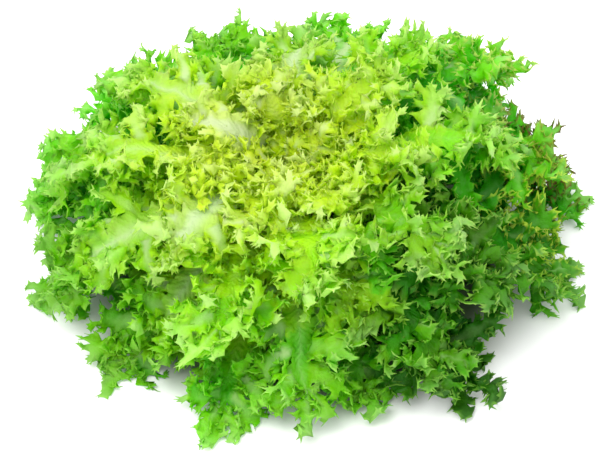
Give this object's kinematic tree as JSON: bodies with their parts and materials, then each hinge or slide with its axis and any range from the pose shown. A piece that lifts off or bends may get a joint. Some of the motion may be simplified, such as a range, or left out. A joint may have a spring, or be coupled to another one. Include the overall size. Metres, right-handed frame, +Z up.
{
  "type": "curly endive head",
  "caption": "Cut head of curly endive (frisee) standing on its stem end: whorls of long, deeply cut, toothed and curled leaves, dark green outside and pale yellow at the heart",
  "frame": {"origin": "centre of the flat cut face of the stem, where the head rests", "axes": "+Z up from the cut face through the crown; the heart leans towards -Y and the leaves reach a little further on +X"},
  "size_m": [0.3555, 0.3245, 0.1331],
  "materials": {
    "cut_stem": "moist, fibrous cut stem",
    "heart": "waxy pale yellow leaf",
    "inner_leaf": "waxy leaf",
    "upper_leaf": "waxy leaf",
    "arching_leaf": "waxy leaf",
    "spreading_leaf": "waxy leaf",
    "outer_leaf": "waxy dark green leaf"
  },
  "bodies": {
    "root": {"crown": "cut_stem", "heart": "heart", "outer_leaf_01": "outer_leaf", "outer_leaf_02": "outer_leaf", "outer_leaf_03": "outer_leaf", "outer_leaf_04": "outer_leaf", "outer_leaf_05": "outer_leaf", "outer_leaf_06": "outer_leaf", "outer_leaf_07": "outer_leaf", "outer_leaf_08": "outer_leaf", "outer_leaf_09": "outer_leaf", "outer_leaf_10": "outer_leaf", "outer_leaf_11": "outer_leaf", "outer_leaf_12": "outer_leaf", "spreading_leaf_01": "spreading_leaf", "spreading_leaf_02": "spreading_leaf", "spreading_leaf_03": "spreading_leaf", "spreading_leaf_04": "spreading_leaf", "spreading_leaf_05": "spreading_leaf", "spreading_leaf_06": "spreading_leaf", "spreading_leaf_07": "spreading_leaf", "spreading_leaf_08": "spreading_leaf", "spreading_leaf_09": "spreading_leaf", "spreading_leaf_10": "spreading_leaf", "spreading_leaf_11": "spreading_leaf", "arching_leaf_01": "arching_leaf", "arching_leaf_02": "arching_leaf", "arching_leaf_03": "arching_leaf", "arching_leaf_04": "arching_leaf", "arching_leaf_05": "arching_leaf", "arching_leaf_06": "arching_leaf", "arching_leaf_07": "arching_leaf", "arching_leaf_08": "arching_leaf", "arching_leaf_09": "arching_leaf", "arching_leaf_10": "arching_leaf", "upper_leaf_01": "upper_leaf", "upper_leaf_02": "upper_leaf", "upper_leaf_03": "upper_leaf", "upper_leaf_04": "upper_leaf", "upper_leaf_05": "upper_leaf", "upper_leaf_06": "upper_leaf", "upper_leaf_07": "upper_leaf", "upper_leaf_08": "upper_leaf", "inner_leaf_01": "inner_leaf", "inner_leaf_02": "inner_leaf", "inner_leaf_03": "inner_leaf", "inner_leaf_04": "inner_leaf", "inner_leaf_05": "inner_leaf", "inner_leaf_06": "inner_leaf", "inner_leaf_07": "inner_leaf"}
  },
  "joints": []
}
